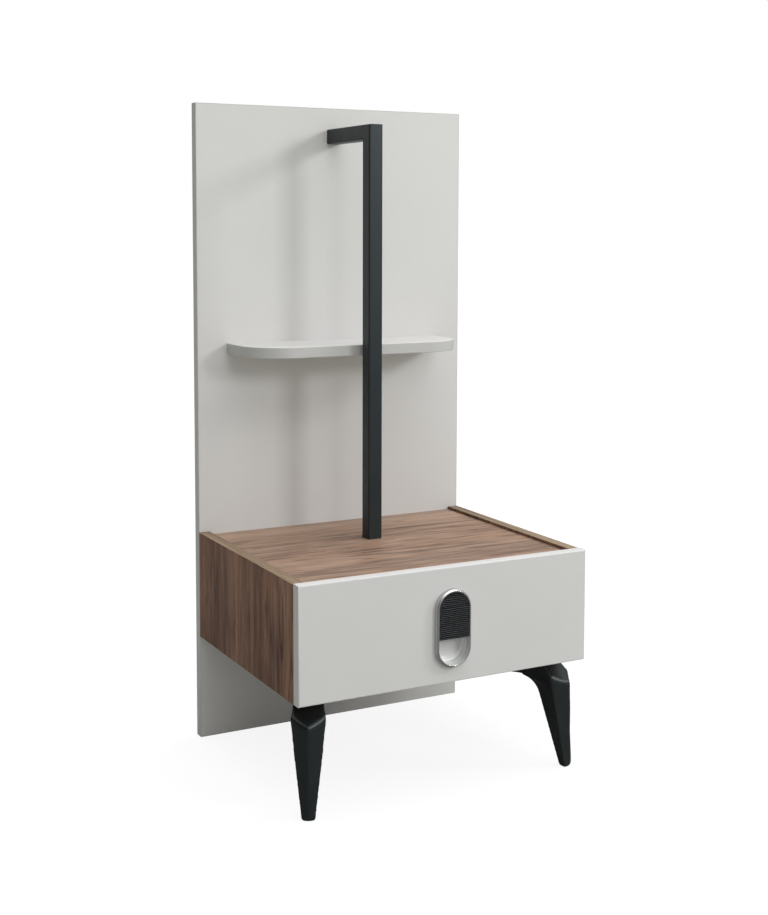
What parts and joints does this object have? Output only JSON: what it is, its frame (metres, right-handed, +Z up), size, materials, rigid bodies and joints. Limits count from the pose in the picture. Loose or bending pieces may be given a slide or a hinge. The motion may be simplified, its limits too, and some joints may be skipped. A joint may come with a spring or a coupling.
{
  "type": "bedside cabinet",
  "caption": "Bedside cabinet with a tall back panel, a round-cornered shelf, a square black post and a walnut box holding a pull-out drawer on tapered front legs.",
  "frame": {"origin": "on the floor, under the middle of the whole cabinet's box", "axes": "+Z up, the drawer opens towards -Y, +X to the right of someone who faces the drawer"},
  "size_m": [0.5, 0.43, 1.065],
  "materials": {
    "grey_board": "satin warm grey melamine on chipboard",
    "shelf_board": "satin light grey lacquer on fibreboard",
    "walnut": "matt walnut foil with an open grain",
    "drawer_board": "pale foil on chipboard",
    "black_metal": "satin black powder coat",
    "black_plastic": "satin black moulded plastic",
    "chrome": "polished chrome plate",
    "zinc_steel": "bright zinc plate",
    "beech": "bare fluted beech"
  },
  "bodies": {
    "cabinet": {"back_panel": "grey_board", "side_panel_left": "walnut", "side_panel_right": "walnut", "top_panel": "walnut", "bottom_panel": "walnut", "shelf": "shelf_board", "side_screw_left_low": "zinc_steel", "side_screw_left_high": "zinc_steel", "side_screw_right_low": "zinc_steel", "side_screw_right_high": "zinc_steel", "top_panel_screw": "zinc_steel", "bottom_panel_screw": "zinc_steel", "shelf_screw_left": "zinc_steel", "shelf_screw_right": "zinc_steel", "dowel_top_left": "beech", "dowel_bottom_left": "beech", "dowel_top_right": "beech", "dowel_bottom_right": "beech", "post_tube": "black_metal", "arm_tube": "black_metal", "post_plug": "black_plastic", "arm_plug": "black_plastic", "post_screw": "zinc_steel", "arm_screw": "zinc_steel", "leg_left": "black_plastic", "leg_right": "black_plastic", "leg_screw_left_1": "zinc_steel", "leg_screw_left_2": "zinc_steel", "leg_screw_right_1": "zinc_steel", "leg_screw_right_2": "zinc_steel", "runner_outer_left": "zinc_steel", "runner_outer_right": "zinc_steel", "runner_outer_screw_left_1": "zinc_steel", "runner_outer_screw_left_2": "zinc_steel", "runner_outer_screw_right_1": "zinc_steel", "runner_outer_screw_right_2": "zinc_steel"},
    "drawer": {"drawer_front": "grey_board", "drawer_inner_front": "drawer_board", "drawer_side_left": "drawer_board", "drawer_side_right": "drawer_board", "drawer_back": "drawer_board", "drawer_base": "drawer_board", "front_screw_left": "zinc_steel", "front_screw_right": "zinc_steel", "handle_cup": "chrome", "handle_insert": "black_plastic", "handle_screw_1": "zinc_steel", "handle_screw_2": "zinc_steel", "runner_inner_left": "zinc_steel", "runner_inner_right": "zinc_steel", "runner_inner_screw_left_1": "zinc_steel", "runner_inner_screw_left_2": "zinc_steel", "runner_inner_screw_right_1": "zinc_steel", "runner_inner_screw_right_2": "zinc_steel"},
    "middle_member_left": {"runner_middle_left": "zinc_steel"},
    "middle_member_right": {"runner_middle_right": "zinc_steel"},
    "outer_cage_left": {"runner_outer_cage_left": "zinc_steel"},
    "outer_cage_right": {"runner_outer_cage_right": "zinc_steel"},
    "inner_cage_left": {"runner_inner_cage_left": "zinc_steel"},
    "inner_cage_right": {"runner_inner_cage_right": "zinc_steel"}
  },
  "joints": [
    {"name": "drawer_slide", "type": "slide", "parent": "cabinet", "child": "drawer", "axis": [0, -1, 0], "range_m": [0, 0.34]},
    {"name": "middle_left_slide", "type": "slide", "parent": "cabinet", "child": "middle_member_left", "axis": [0, -1, 0], "range_m": [0, 0.17]},
    {"name": "middle_right_slide", "type": "slide", "parent": "cabinet", "child": "middle_member_right", "axis": [0, -1, 0], "range_m": [0, 0.17]},
    {"name": "outer_cage_left_slide", "type": "slide", "parent": "cabinet", "child": "outer_cage_left", "axis": [0, -1, 0], "range_m": [0, 0.085]},
    {"name": "outer_cage_right_slide", "type": "slide", "parent": "cabinet", "child": "outer_cage_right", "axis": [0, -1, 0], "range_m": [0, 0.085]},
    {"name": "inner_cage_left_slide", "type": "slide", "parent": "cabinet", "child": "inner_cage_left", "axis": [0, -1, 0], "range_m": [0, 0.255]},
    {"name": "inner_cage_right_slide", "type": "slide", "parent": "cabinet", "child": "inner_cage_right", "axis": [0, -1, 0], "range_m": [0, 0.255]}
  ],
  "couplings": [
    {"joint": "middle_left_slide", "follows": "drawer_slide", "ratio": 0.5},
    {"joint": "middle_right_slide", "follows": "drawer_slide", "ratio": 0.5},
    {"joint": "outer_cage_left_slide", "follows": "drawer_slide", "ratio": 0.25},
    {"joint": "outer_cage_right_slide", "follows": "drawer_slide", "ratio": 0.25},
    {"joint": "inner_cage_left_slide", "follows": "drawer_slide", "ratio": 0.75},
    {"joint": "inner_cage_right_slide", "follows": "drawer_slide", "ratio": 0.75}
  ]
}
